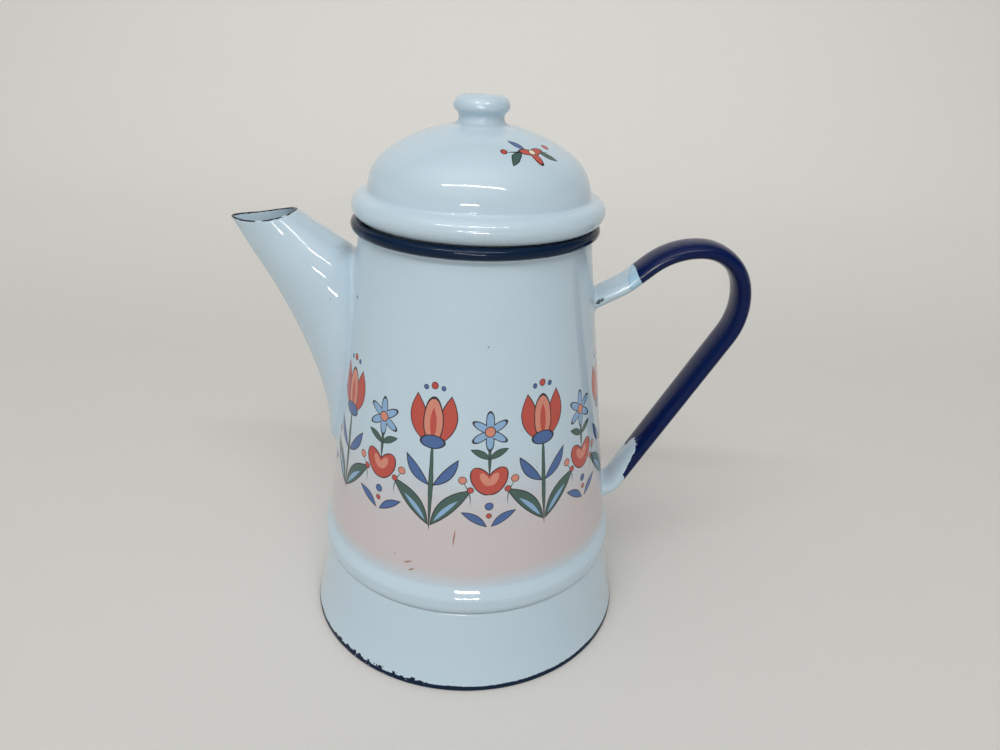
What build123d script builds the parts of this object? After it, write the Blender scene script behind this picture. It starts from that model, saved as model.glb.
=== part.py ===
from build123d import *
from math import atan, atan2, cos, degrees, radians, sin, sqrt
import os

# Enamelled steel coffee pot, in millimetres.
# +Z is up, the origin is the centre of the foot ring on the table,
# the handle is towards +X and the spout towards -X.

# Sheet
WALL = 1.2                 # steel with enamel on both faces
LID_WALL = 1.1

# Conical wall, outer face
CONE_R_AT_TABLE = 70.25    # the cone's line carried down to the table
CONE_SLOPE = 0.131         # loss of radius for each millimetre of height
ROLL_Z = 180.6             # centre of the rolled mouth rim
ROLL_R = 2.3               # the enamel closes the roll, so its section is one round bar
ROLL_POINTS = 6            # points that its smooth outline goes through

# Bead above the joint with the skirt, on the wall's middle line
BEAD_EDGE = (65.1, 36.5)
BEAD_EDGE_RUN = (0.357, 0.934)
BEAD_CROWN = (65.76, 40.35)
BEAD_SHOULDER = (64.75, 44.5)
BEAD_WAIST = (63.67, 47.3)
BEAD_TOP_Z = 50.2

# Foot skirt, outer face
SKIRT_TOP = (65.45, 34.6)
SKIRT_KNEE = (68.3, 17.0)
LIP_R = 72.0
FLARE_RUN = (0.3, -1.0)    # the flare runs on past the lip, and is cut level with the table
JOGGLE_RISE = 1.4          # height over which the skirt steps in under the wall
JOGGLE_STEP = 1.0
TONGUE_TOP_Z = 45.5

# Bottom pan
PAN_Z = 5.5                # middle of the sheet
PAN_CORNER_R = 6.0
PAN_FLANGE_TOP_Z = 24.0

# Strainer punched through the wall behind the spout
HOLE_R = 3.0
HOLE_PITCH = 10.0
HOLE_ROWS = (2, 3, 2)
STRAINER_Z = 124.0
PUNCH_LENGTH = 30.0        # goes through the near wall only

# Spout: for each section the lower and upper point on its outer face, half its width,
# and how much fuller it is on the side towards the pot
SPOUT_SECTIONS = (
    ((-100.65, 183.75), (-76.8, 185.65), 9.9, 0.28),
    ((-98.55, 179.9), (-72.65, 182.85), 10.35, 0.28),
    ((-91.25, 166.65), (-63.2, 176.55), 12.3, 0.26),
    ((-83.55, 153.45), (-55.25, 171.35), 15.35, 0.22),
    ((-73.35, 131.75), (-46.0, 162.95), 18.3, 0.15),
    ((-66.3, 111.2), (-43.0, 148.4), 19.5, 0.1),
    ((-63.25, 95.25), (-43.9, 131.4), 18.8, 0.05),
    ((-63.3, 87.3), (-46.0, 112.9), 16.5, 0.0),
    ((-61.2, 79.9), (-48.0, 97.95), 13.5, 0.0),
    ((-55.5, 76.5), (-49.0, 86.0), 10.0, 0.0),
)
SPOUT_WALL = 1.1
SECTION_POINTS = 8
MOUTH_CUT_R = 65.0         # the mouth dips a little between its tip and its back corner
MOUTH_CUT_CENTRE = (-92.9, 244.7)

# Handle: middle line in the plane of symmetry, corners and the bend at each
HANDLE_POINTS = (
    (44.15, 147.0),
    (62.8, 157.4),
    (82.2, 174.3),
    (107.8, 172.5),
    (114.6, 147.0),
    (66.7, 61.0),
    (54.85, 54.6),
)
HANDLE_BENDS = (18.0, 31.0, 19.0, 31.0, 12.0)
HANDLE_WIDTH = 17.4
HANDLE_THICK = 7.4
HANDLE_HOLLOW = (10.4, 4.4)    # plain space inside the oval strap, shut at both ends

# Lid, outer face
LID_SHIFT = 1.0            # the loose lid sits this far towards the handle
DOME_R = 44.4
DOME_SHOULDER_R = 20.0
DOME_BASE_Z = 192.2
DOME_TOP_Z = 219.5
DOME_END_ANGLE = 6.6       # degrees above the shoulder's widest level, where the dome turns out to the bead
LID_BEAD = (45.6, 187.95)  # centre of the bead's round section
LID_BEAD_R = 4.8
LID_BEAD_ANGLES = (75, 0, -75)
COLLAR_R = 44.0
COLLAR_TOP_Z = 181.5
COLLAR_LOW_Z = 170.5

# Knob, outer face
KNOB_FLAT_R = 6.6          # flat middle of the head
KNOB_TOP_Z = 229.7
KNOB_EDGE = (10.85, 225.4)
KNOB_NECK = (8.7, 221.0)
KNOB_FOOT_R = 10.6         # the foot spreads on to the dome
KNOB_CAVITY_R = 7.4
KNOB_WALL = 1.1

CONE_TILT = degrees(atan(CONE_SLOPE))


def cone_r(z, inward=0.0):
    """Radius of the cone at a height, measured to a face that lies this far inside the outer one."""
    return CONE_R_AT_TABLE - CONE_SLOPE * z - inward / cos(radians(CONE_TILT))


def on_circle(centre, radius, angle):
    x, y = tuple(centre)[:2]
    return x + radius * cos(radians(angle)), y + radius * sin(radians(angle))


def beside(line, shift):
    """A line set off square to another. A bend becomes one smooth curve that keeps its end directions."""
    if line.geom_type == GeomType.LINE:
        square = (line % 0).rotate(Axis.Z, 90) * shift
        return Line(line @ 0 + square, line @ 1 + square)
    spans = 2 if line.geom_type == GeomType.CIRCLE else 4
    steps = [n / spans for n in range(spans + 1)]
    points = [line @ step + (line % step).rotate(Axis.Z, 90) * shift for step in steps]
    return Spline(points, tangents=[line % 0, line % 1])


def smooth_sheet(lines, thickness):
    """Section of a sheet whose middle line, drawn as (radius, height), has no corners."""
    right = [beside(line, -thickness / 2) for line in lines]
    left = [beside(line, thickness / 2) for line in lines]
    ends = [Line(right[0] @ 0, left[0] @ 0), Line(right[-1] @ 1, left[-1] @ 1)]
    return make_face(Curve() + right + left + ends)


def cornered_sheet(path, thickness):
    """Section of a sheet whose middle line has sharp corners, cut square at both ends."""
    line = Wire(path.edges())
    face = make_face(line.offset_2d(thickness / 2, kind=Kind.INTERSECTION).edges())
    for end, way in ((0, -1), (1, 1)):
        outwards = line % end * way
        turn = Rot(0, 0, degrees(atan2(outwards.Y, outwards.X)))
        waste = Rectangle(2 * thickness, 4 * thickness, align=(Align.MIN, Align.CENTER))
        face -= Pos(line @ end) * turn * waste
    return face


def turned(profile):
    """The solid that a section makes when it is turned about the pot's axis."""
    return revolve(Plane.XZ * profile, Axis.Z, 360)


def solid_cone():
    """Everything inside the wall's outer face, for cutting what is welded to it."""
    high = ROLL_Z + LID_BEAD_R
    outline = Polyline((0, 0), (cone_r(0), 0), (cone_r(high), high), (0, high), close=True)
    return turned(make_face(outline))


def strainer_holes():
    holes = []
    row_step = HOLE_PITCH * sqrt(3) / 2
    for row, count in enumerate(HOLE_ROWS):
        z = STRAINER_Z + (row - (len(HOLE_ROWS) - 1) / 2) * row_step
        for column in range(count):
            y = (column - (count - 1) / 2) * HOLE_PITCH
            holes.append(Pos(-cone_r(z), y, z) * Cylinder(HOLE_R, PUNCH_LENGTH, rotation=(0, 90, 0)))
    return holes


def body_shell():
    normal = Vector(cos(radians(CONE_TILT)), sin(radians(CONE_TILT)))
    foot_z = ROLL_Z - ROLL_R * normal.Y
    roll_foot = Vector(cone_r(foot_z, WALL), foot_z)
    bead_top = (cone_r(BEAD_TOP_Z, WALL / 2), BEAD_TOP_Z)
    wall = Line(bead_top, roll_foot + normal * WALL / 2)
    bead = Spline(
        [BEAD_EDGE, BEAD_CROWN, BEAD_SHOULDER, BEAD_WAIST, bead_top],
        tangents=[BEAD_EDGE_RUN, wall % 0],
    )
    roll_centre = roll_foot + normal * ROLL_R
    step = 360 / ROLL_POINTS
    around = [on_circle(roll_centre, ROLL_R, CONE_TILT + step * n) for n in range(ROLL_POINTS)]
    roll = make_face(Spline(around, periodic=True))
    section = smooth_sheet([bead, wall], WALL) + roll
    return turned(section) - strainer_holes()


def skirt_line(depth):
    """Straight stretch and flare of the skirt, at a depth inside its outer face."""
    top, knee = Vector(*SKIRT_TOP), Vector(*SKIRT_KNEE)
    shift = (knee - top).normalized().rotate(Axis.Z, -90) * depth
    straight = Line(top + shift, knee + shift)
    end = (LIP_R - depth + FLARE_RUN[0], FLARE_RUN[1])
    flare = TangentArc(knee + shift, end, tangent=straight % 1)
    return straight, flare


def base_skirt():
    straight, flare = skirt_line(WALL / 2)
    top = straight @ 0
    step = (top.X - JOGGLE_STEP, top.Y + JOGGLE_RISE)
    tongue_top = (step[0] - CONE_SLOPE * (TONGUE_TOP_Z - step[1]), TONGUE_TOP_Z)
    tongue = Line(tongue_top, step)
    joggle = Line(step, top)
    section = cornered_sheet(Curve() + [tongue, joggle, straight, flare], WALL)
    table_and_below = Rectangle(4 * LIP_R, LIP_R, align=(Align.CENTER, Align.MAX))
    return turned(section - table_and_below)


def bottom_pan():
    straight, _ = skirt_line(1.5 * WALL)
    high, low = straight @ 0, straight @ 1
    slope = (high.X - low.X) / (high.Y - low.Y)
    corner = (low.X + slope * (PAN_Z - low.Y), PAN_Z)
    flange_top = (low.X + slope * (PAN_FLANGE_TOP_Z - low.Y), PAN_FLANGE_TOP_Z)
    path = FilletPolyline((0, PAN_Z), corner, flange_top, radius=PAN_CORNER_R)
    return turned(smooth_sheet(path.edges(), WALL))


def spout_section(low, high, half_width, fullness, inward=0.0):
    """An egg square to the plane of symmetry, through the lower and upper edge points."""
    middle = Vector((low[0] + high[0]) / 2, 0, (low[1] + high[1]) / 2)
    long_way = Vector(high[0] - low[0], 0, high[1] - low[1])
    plane = Plane(origin=middle, x_dir=long_way, z_dir=long_way.cross(Vector(0, 1, 0)))
    around = []
    for n in range(SECTION_POINTS):
        angle = radians(360 / SECTION_POINTS * n)
        along = (long_way.length / 2 - inward) * cos(angle)
        across = (half_width - inward) * sin(angle) * (1 + fullness * cos(angle))
        around.append((along, across))
    return plane * make_face(Spline(around, periodic=True))


def spout():
    outer = loft([spout_section(*s) for s in SPOUT_SECTIONS])
    bore = loft([spout_section(*s, SPOUT_WALL) for s in SPOUT_SECTIONS])
    centre_x, centre_z = MOUTH_CUT_CENTRE
    roller = Cylinder(MOUTH_CUT_R, CONE_R_AT_TABLE, rotation=(90, 0, 0))
    return outer - bore - solid_cone() - Pos(centre_x, 0, centre_z) * roller


def handle():
    path = Plane.XZ * FilletPolyline(*HANDLE_POINTS, radius=list(HANDLE_BENDS))
    start = Plane(origin=path @ 0, x_dir=(0, 1, 0), z_dir=path % 0)
    strap = sweep(start * Ellipse(HANDLE_WIDTH / 2, HANDLE_THICK / 2), path)
    hollow = sweep(start * Rectangle(*HANDLE_HOLLOW), path)
    return strap - hollow - solid_cone()


def dome_centres():
    """Centres of the shoulder and crown arcs, and the crown's radius, for the outer face."""
    shoulder = (DOME_R - DOME_SHOULDER_R, DOME_BASE_Z)
    rise = DOME_TOP_Z - DOME_BASE_Z
    crown_r = (shoulder[0] ** 2 + rise**2 - DOME_SHOULDER_R**2) / (2 * (rise - DOME_SHOULDER_R))
    return shoulder, (0.0, DOME_TOP_Z - crown_r), crown_r


def lid_line(depth):
    """The lid from the top of its crown to the foot of its collar, at a depth inside the outer face."""
    shoulder, crown, crown_r = dome_centres()
    join_angle = degrees(atan2(shoulder[1] - crown[1], shoulder[0]))
    join = on_circle(crown, crown_r - depth, join_angle)
    dome_end = on_circle(shoulder, DOME_SHOULDER_R - depth, DOME_END_ANGLE)
    bead_points = [on_circle(LID_BEAD, LID_BEAD_R - depth, angle) for angle in LID_BEAD_ANGLES]
    collar_top = (COLLAR_R - depth, COLLAR_TOP_Z)

    crown_arc = RadiusArc((0, DOME_TOP_Z - depth), join, crown_r - depth)
    shoulder_arc = RadiusArc(join, dome_end, DOME_SHOULDER_R - depth)
    bead = Spline([dome_end, *bead_points, collar_top], tangents=[shoulder_arc % 1, (0, -1)])
    collar = Line(collar_top, (collar_top[0], COLLAR_LOW_Z))
    return Curve() + [crown_arc, shoulder_arc, bead, collar]


def lid_dome():
    """One pressing: crown, shoulder, neck, bead, and a plain collar that goes down into the mouth."""
    outer, inner = lid_line(0), lid_line(LID_WALL)
    crown_edge = Line((0, DOME_TOP_Z - LID_WALL), (0, DOME_TOP_Z))
    collar_edge = Line((COLLAR_R, COLLAR_LOW_Z), (COLLAR_R - LID_WALL, COLLAR_LOW_Z))
    section = make_face(outer.edges() + inner.edges() + crown_edge.edges() + collar_edge.edges())
    return Pos(LID_SHIFT, 0, 0) * turned(section)


def lid_knob():
    """Hollow pressed knob: its foot spreads on the crown of the dome, which closes it below."""
    _, crown, crown_r = dome_centres()

    def on_dome(radius):
        return radius, crown[1] + sqrt(crown_r**2 - radius**2)

    foot, cavity_foot = on_dome(KNOB_FOOT_R), on_dome(KNOB_CAVITY_R)
    seat = RadiusArc(cavity_foot, foot, crown_r)
    flat_edge = (KNOB_FLAT_R, KNOB_TOP_Z)
    roof_z = KNOB_TOP_Z - KNOB_WALL
    side = Spline([flat_edge, KNOB_EDGE, KNOB_NECK, foot], tangents=[(1, 0), seat % 1])
    top = Line((0, KNOB_TOP_Z), flat_edge)
    cavity = Polyline(cavity_foot, (KNOB_CAVITY_R, roof_z), (0, roof_z), (0, KNOB_TOP_Z))
    return Pos(LID_SHIFT, 0, 0) * turned(make_face(Curve() + [top, side, seat, cavity]))


PIECES = {
    "body_shell": body_shell,
    "base_skirt": base_skirt,
    "bottom_pan": bottom_pan,
    "spout": spout,
    "handle": handle,
    "lid_dome": lid_dome,
    "lid_knob": lid_knob,
}

os.makedirs("parts", exist_ok=True)
for name, make in PIECES.items():
    piece = make()
    export_step(piece, f"parts/{name}.step")
    print(name, "volume", round(piece.volume), "mm3, solids", len(piece.solids()))
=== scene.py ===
# %% [markdown]
# # An enamel coffee pot
# The pot is thin sheet steel, pressed, turned and welded, then dipped in melted glass. The glass
# rounds every edge and runs into every corner, so the work here is in soft edges, in the fillets
# where spout and handle meet the wall, and in the small faults of a glaze that has been used. The
# measured model comes first. It says where each piece is, and stays as it is.

# %% Load the measured model
from functools import partialmethod
from math import atan, cos, degrees, pi, radians, sin, sqrt, tan
import bmesh
import bpy
import numpy as np
from mathutils import Matrix, Vector


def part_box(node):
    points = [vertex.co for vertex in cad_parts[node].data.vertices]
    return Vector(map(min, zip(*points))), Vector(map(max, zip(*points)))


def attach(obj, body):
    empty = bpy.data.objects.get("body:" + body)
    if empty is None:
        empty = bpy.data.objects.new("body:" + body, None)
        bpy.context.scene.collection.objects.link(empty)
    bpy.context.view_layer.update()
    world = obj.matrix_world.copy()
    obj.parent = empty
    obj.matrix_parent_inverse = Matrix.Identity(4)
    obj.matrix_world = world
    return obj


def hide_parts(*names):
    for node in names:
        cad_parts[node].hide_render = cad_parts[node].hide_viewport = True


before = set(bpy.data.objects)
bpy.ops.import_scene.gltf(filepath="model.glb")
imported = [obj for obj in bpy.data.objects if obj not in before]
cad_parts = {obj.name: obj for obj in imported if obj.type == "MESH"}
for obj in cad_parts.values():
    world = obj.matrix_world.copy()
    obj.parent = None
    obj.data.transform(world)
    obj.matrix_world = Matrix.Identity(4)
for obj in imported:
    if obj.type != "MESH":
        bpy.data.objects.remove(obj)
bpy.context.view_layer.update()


def rounded(values, digits=3):
    """Numbers short enough to print."""
    return [round(value, digits) for value in values]


# %% [markdown]
# ## The camera
# A phone was held close to the pot and looked down on it a little. So near, perspective is strong:
# the lid shows its top and the foot looks narrow. A camera is a place, a direction and a lens. The
# place and the three angles are written as numbers, and a matrix is made from them, which is surer
# than aiming by hand.

# %% Camera
def look(yaw, pitch, roll, place):
    """A camera's matrix. All angles at 0 look along +Y with +Z up; place is in metres."""
    ahead = Vector((sin(yaw) * cos(pitch), cos(yaw) * cos(pitch), sin(pitch)))
    level = Vector((cos(yaw), -sin(yaw), 0))
    above = level.cross(ahead)
    right = level * cos(roll) + above * sin(roll)
    up = above * cos(roll) - level * sin(roll)
    turn = Matrix((right, up, -ahead)).transposed().to_4x4()
    return Matrix.Translation(place) @ turn


scene = bpy.context.scene
camera_data = bpy.data.cameras.new("camera")
camera_data.sensor_width = 36.0
camera_data.lens = 27.01
camera_data.clip_start = 0.01
camera = bpy.data.objects.new("camera", camera_data)
camera.matrix_world = look(0.021, -0.431, 0.045, (0.00612, -0.30159, 0.25170))
scene.collection.objects.link(camera)
scene.camera = camera
print("camera at", rounded(camera.matrix_world.translation), "lens", camera_data.lens, "mm")

# %% [markdown]
# ## From numbers to a mesh
# Nearly every piece is a row of rings: a turned piece has a ring for each point of its outline, a
# spout has a ring for each cut across it. Modifiers such as Screw or Skin could make them, but a
# mesh made straight from rings keeps each measured radius, and it is closed by its own last ring.
# Sizes stay in millimetres until the mesh is made, as they would on a workshop drawing.

# %% Rings into a closed mesh
MM = 0.001


def skin(name, rings, loop=False, crease=38):
    """A closed mesh through rings of points in millimetres. A ring of one point closes an end."""
    points, faces, starts = [], [], []
    for ring in rings:
        starts.append(len(points))
        points.extend(np.asarray(ring, float) * MM)
    for one in range(len(rings) if loop else len(rings) - 1):
        two = (one + 1) % len(rings)
        a, b = starts[one], starts[two]
        m, n = len(rings[one]), len(rings[two])
        for i in range(max(m, n)):
            j = (i + 1) % max(m, n)
            corners = (a + i % m, a + j % m, b + j % n, b + i % n)
            faces.append(tuple(dict.fromkeys(corners)))
    mesh = bpy.data.meshes.new(name)
    mesh.from_pydata([tuple(p) for p in points], [], faces)
    tidy = bmesh.new()
    tidy.from_mesh(mesh)
    bmesh.ops.recalc_face_normals(tidy, faces=tidy.faces)
    tidy.to_mesh(mesh)
    tidy.free()
    mesh.shade_smooth()
    mesh.set_sharp_from_angle(angle=radians(crease))
    piece = bpy.data.objects.new(name, mesh)
    scene.collection.objects.link(piece)
    size = np.ptp(np.array(points) / MM, axis=0)
    print(name, "size", size.round(1).tolist(), "mm,", len(faces), "faces")
    return piece


# %% Runs, arcs and bends, drawn as (radius, height)
def unit(way):
    """The same direction with a length of 1, or the same for each row of a list."""
    way = np.asarray(way, float)
    return way / np.linalg.norm(way, axis=-1, keepdims=True)


def arc(centre, radius, start, end, steps=12):
    """Points on a circle from one angle to another, in degrees."""
    turn = np.radians(np.linspace(start, end, steps + 1))
    return np.column_stack([centre[0] + radius * np.cos(turn), centre[1] + radius * np.sin(turn)])


def straight(start, end, step=3.0):
    """Points on a straight line, no further apart than the step."""
    count = max(1, int(np.ceil(np.hypot(end[0] - start[0], end[1] - start[1]) / step)))
    return np.linspace(start, end, count + 1)


QUARTER = 0.5523


def bend(start, way, end, end_way, steps=12, reach=QUARTER):
    """A smooth bend that leaves along one direction and arrives along another.

    Its handles reach this share of the way, and the usual share makes a round quarter circle.
    """
    start, end = np.array(start, float), np.array(end, float)
    way, end_way = unit(way), unit(end_way)
    first = start + way * reach * abs(np.dot(end - start, way))
    second = end - end_way * reach * abs(np.dot(end - start, end_way))
    t = np.linspace(0, 1, steps + 1)[:, None]
    leaving = (1 - t)**3 * start + 3 * t * (1 - t)**2 * first
    return leaving + 3 * t**2 * (1 - t) * second + t**3 * end


def arc_on(start, way, end, steps=12):
    """The circular bend that leaves start along a direction and ends at a point."""
    start, end, way = np.array(start, float), np.array(end, float), unit(way)
    chord = end - start
    square = np.array([-way[1], way[0]])
    radius = np.dot(chord, chord) / (2 * np.dot(square, chord))
    centre = start + square * radius
    turn = 2 * np.arctan2(np.dot(square, chord), np.dot(way, chord))
    angles = np.linspace(0, turn, steps + 1)
    return np.array([centre + (start - centre) * cos(a) + way * radius * sin(a) for a in angles])


print("a bend round a 10 mm corner", bend((0, 0), (1, 0), (10, 10), (0, 1), 2).round(2).tolist())


# %% Sheets from lines
def joined(*runs):
    """One line from several, without the points that they share."""
    line = np.asarray(runs[0], float)
    for run in runs[1:]:
        run = np.asarray(run, float)
        if np.linalg.norm(run[0] - line[-1]) < 0.002:
            run = run[1:]
        line = np.vstack([line, run])
    return line


def set_off(line, depth):
    """The line moved to its left by a depth, as the other face of a sheet is."""
    way = unit(np.gradient(line, axis=0))
    return line + np.column_stack([-way[:, 1], way[:, 0]]) * depth


def sheet_section(middle, thickness, steps=6):
    """Section of a sheet round its middle line, with the glaze rounding off both edges."""
    right, left = set_off(middle, -thickness / 2), set_off(middle, thickness / 2)
    far = degrees(np.arctan2(*(right[-1] - left[-1])[::-1]))
    near = degrees(np.arctan2(*(left[0] - right[0])[::-1]))
    far_end = arc(middle[-1], thickness / 2, far, far + 180, steps)[1:-1]
    near_end = arc(middle[0], thickness / 2, near, near + 180, steps)[1:-1]
    return np.vstack([right, far_end, left[::-1], near_end])


print("a strip of sheet has", len(sheet_section(straight((0, 0), (0, 20)), 1.2)), "points round it")

# %% Turning an outline
def turned(name, outline, columns=240, centre=0.0):
    """An outline turned about an upright axis: a closed loop, or one that starts and ends on it."""
    angles = np.linspace(0, 2 * pi, columns, endpoint=False)
    on_axis = outline[0][0] < 1e-6
    rings = []
    for radius, height in outline:
        turn = angles if radius > 1e-6 else angles[:1]
        ring = (centre + radius * np.cos(turn), radius * np.sin(turn), np.full(len(turn), height))
        rings.append(np.column_stack(ring))
    return skin(name, rings, loop=not on_axis)


# %% [markdown]
# ## The wall
# The body is one cone of sheet, with a bead rolled in at its foot to stiffen it and a curl at the
# mouth, rolled outwards and shut. The glaze fills the gap where the curl comes back to the wall. It
# could be a cylinder with a Bevel, but an outline drawn once, foot to mouth, gives the bead, the
# wall and the curl in one sheet with no join to hide.

# %% Measures of the wall
SHEET = 1.2
CONE_R = 70.25
SLOPE = 0.131
LEAN = atan(SLOPE)
ROLL = (47.70, 180.60)
ROLL_R = 2.3
ROLL_FILLET = 0.9
BEAD_FOOT = (65.1, 36.5)
BEAD_WIDEST = (65.83, 40.3)
BEAD_TOP = (64.3, 45.6)
CONE_FOOT = 50.2


def wall_r(height):
    """Radius of the wall's outer face."""
    return CONE_R - SLOPE * height


print("the wall is", round(2 * wall_r(CONE_FOOT), 1), "mm wide at its foot")


# %% The wall in one outline
def wall_outline():
    """Foot of the bead, bead, cone and curl, then back down the inside."""
    square = np.array([cos(LEAN), sin(LEAN)])
    along = np.array([-sin(LEAN), cos(LEAN)])
    stand_off = ROLL_FILLET - (ROLL_R - SHEET)
    rise = sqrt((ROLL_R + ROLL_FILLET)**2 - stand_off**2)
    corner = np.array(ROLL) + square * stand_off - along * rise
    to_roll = np.array(ROLL) - corner
    face_angle = 180 + degrees(LEAN)
    corner_angle = degrees(np.arctan2(to_roll[1], to_roll[0]))

    bead_way = (-0.42, 0.9)
    cone_foot = (wall_r(CONE_FOOT) - SHEET / 2 / cos(LEAN), CONE_FOOT)
    bead = joined(
        bend(BEAD_FOOT, (0.36, 0.93), BEAD_WIDEST, (0, 1), 8),
        bend(BEAD_WIDEST, (0, 1), BEAD_TOP, bead_way, 10),
        bend(BEAD_TOP, bead_way, cone_foot, along, 8),
    )
    half_sheet = square * SHEET / 2
    outer_top = corner - square * ROLL_FILLET
    inner_top = np.array(ROLL) - square * ROLL_R
    outer = joined(set_off(bead, -SHEET / 2), straight(bead[-1] + half_sheet, outer_top, 4.0))
    inner = joined(set_off(bead, SHEET / 2), straight(bead[-1] - half_sheet, inner_top, 4.0))
    curl = joined(
        outer,
        arc(corner, ROLL_FILLET, face_angle, corner_angle, 8),
        arc(ROLL, ROLL_R, corner_angle - 180, face_angle, 40),
    )
    foot_angle = 180 - 21
    foot = arc(bead[0], SHEET / 2, foot_angle, foot_angle + 180, 8)[1:-1]
    return np.vstack([curl, inner[::-1][1:], foot])


wall = turned("wall", wall_outline(), columns=288)

# %% [markdown]
# ## The strainer
# Behind the spout the wall isn't cut open: it is punched with a few holes that keep the coffee
# grounds in. They are out of sight while the lid is on, and show through the spout and with the lid
# off. A Boolean does it as the punch does, and it is applied at once, so the piece stays a plain
# mesh.

# %% Punch the strainer
def punch(piece, holes, radius, depth=24.0):
    """Cuts round holes along X through the spout's side. Each hole is a (y, z) in millimetres."""
    tool = bmesh.new()
    round_tool = {"radius1": radius * MM, "radius2": radius * MM, "depth": depth * MM}
    for y, z in holes:
        made = bmesh.ops.create_cone(tool, cap_ends=True, segments=40, **round_tool)
        turn = Matrix.Translation(Vector((-wall_r(z), y, z)) * MM) @ Matrix.Rotation(pi / 2, 4, "Y")
        bmesh.ops.transform(tool, matrix=turn, verts=made["verts"])
    mesh = bpy.data.meshes.new("punch")
    tool.to_mesh(mesh)
    tool.free()
    cutter = bpy.data.objects.new("punch", mesh)
    scene.collection.objects.link(cutter)
    cut = piece.modifiers.new("punch", "BOOLEAN")
    cut.operation, cut.solver, cut.object = "DIFFERENCE", "EXACT", cutter
    seen = piece.evaluated_get(bpy.context.evaluated_depsgraph_get())
    cut_mesh = bpy.data.meshes.new_from_object(seen)
    piece.modifiers.clear()
    piece.data = cut_mesh
    cut_mesh.set_sharp_from_angle(angle=radians(38))
    bpy.data.objects.remove(cutter)


HOLE_STEP = 10.0
ROW_STEP = 8.66
STRAINER_MIDDLE = 124.0
strainer = []
for row, count in enumerate((2, 3, 2)):
    for column in range(count):
        aside = (column - (count - 1) / 2) * HOLE_STEP
        strainer.append((aside, STRAINER_MIDDLE + (row - 1) * ROW_STEP))
punch(wall, strainer, 3.0)
print("strainer holes", len(strainer))

# %% [markdown]
# ## The foot
# A separate skirt is stepped in under the bead and flares out to the edge that the pot stands on.
# The bottom is a third pressing, a flanged disc set a little way up inside the skirt, so the hot
# sheet is held off the ground. Both are outlines again: the skirt an open sheet, the pan a closed
# one that starts and ends on the axis.

# %% Skirt
SKIRT_TOP = np.array((65.45, 34.6))
SKIRT_KNEE = np.array((68.3, 17.0))
SKIRT_EDGE = (71.40, 0.62)
TONGUE_TOP = 45.5
down = unit(SKIRT_KNEE - SKIRT_TOP)
inward = np.array([down[1], -down[0]])


def skirt_middle():
    """Middle line of the skirt's sheet: flared edge, knee, shoulder, and a tongue in the bead."""
    top, knee = SKIRT_TOP + inward * SHEET / 2, SKIRT_KNEE + inward * SHEET / 2
    step = top + (-1.0, 1.4)
    tongue_top = step + (-SLOPE * (TONGUE_TOP - step[1]), TONGUE_TOP - step[1])
    tongue_foot = step + (tongue_top - step) * 0.08
    rise = -down
    shoulder_low, shoulder_high = top - rise * 0.9, top + (step - top) * 0.45
    flare = arc_on(knee, down, SKIRT_EDGE, 16)
    return joined(
        flare[::-1],
        straight(knee, shoulder_low, 2.5),
        bend(shoulder_low, rise, shoulder_high, step - top, 6),
        bend(shoulder_high, step - top, tongue_foot, tongue_top - step, 6),
        straight(tongue_foot, tongue_top, 3.0),
    )


skirt = turned("skirt", sheet_section(skirt_middle(), SHEET), columns=288)

# %% Bottom pan
PAN_FLOOR = 5.5
PAN_BEND = 6.0
PAN_TOP = 24.0


def pan_outline():
    """A flat disc whose edge bends up against the inside of the skirt."""
    run = (SKIRT_TOP - SKIRT_KNEE) / (SKIRT_TOP[1] - SKIRT_KNEE[1])
    face = SKIRT_KNEE + inward * 1.5 * SHEET

    def at(height):
        return face + run * (height - face[1])

    flat_end = (at(PAN_FLOOR)[0] - PAN_BEND, PAN_FLOOR)
    bend_end = at(PAN_FLOOR + PAN_BEND)
    middle = joined(
        straight((0, PAN_FLOOR), flat_end, 8.0),
        bend(flat_end, (1, 0), bend_end, run, 10),
        straight(bend_end, at(PAN_TOP), 4.0),
    )
    low, high = set_off(middle, -SHEET / 2), set_off(middle, SHEET / 2)
    low[0][0] = high[0][0] = 0.0
    lean = degrees(np.arctan2(run[1], run[0])) - 90
    edge = arc(middle[-1], SHEET / 2, lean, lean + 180, 6)[1:-1]
    return np.vstack([low, edge, high[::-1]])


pan = turned("bottom_pan", pan_outline(), columns=192)

# %% [markdown]
# ## How the glaze runs into a joint
# The spout and the handle are welded to the wall, and the glaze bridges each joint with a fillet.
# Blender's Bevel can't follow such a joint well. Here every line along a tube is cut where it meets
# the cone, and its last few millimetres are swapped for a bend that leaves the tube smoothly and
# lands smoothly on the wall.

# %% Ease a tube on to the wall
def off_wall(points):
    """How far points stand outside the wall's outer face."""
    radius = np.hypot(points[..., 0], points[..., 1])
    return (radius - wall_r(points[..., 2])) * cos(LEAN)


def wall_normal(points):
    radius = np.hypot(points[..., 0], points[..., 1])
    flat = points[..., :2] / radius[..., None] * cos(LEAN)
    return np.concatenate([flat, np.full(points.shape[:-1] + (1,), sin(LEAN))], axis=-1)


def on_wall(points, height=0.0):
    """The points moved square to the wall until they stand this far off it."""
    return points + wall_normal(points) * (height - off_wall(points))[..., None]


def crossing(line, above):
    """The first point past a face, by the points' heights above it, and where the line meets it."""
    past = int(np.argmax(above < 0))
    share = above[past - 1] / (above[past - 1] - above[past])
    return past, line[past - 1] + (line[past] - line[past - 1]) * share


def cut_at_wall(tube, height=0.0):
    """For each line along the tube: its points down to the wall, and the place where they meet."""
    lines = []
    for line in tube.swapaxes(0, 1):
        past, meet = crossing(line, off_wall(line) - height)
        lines.append(np.vstack([line[:past], meet]))
    return lines


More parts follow.
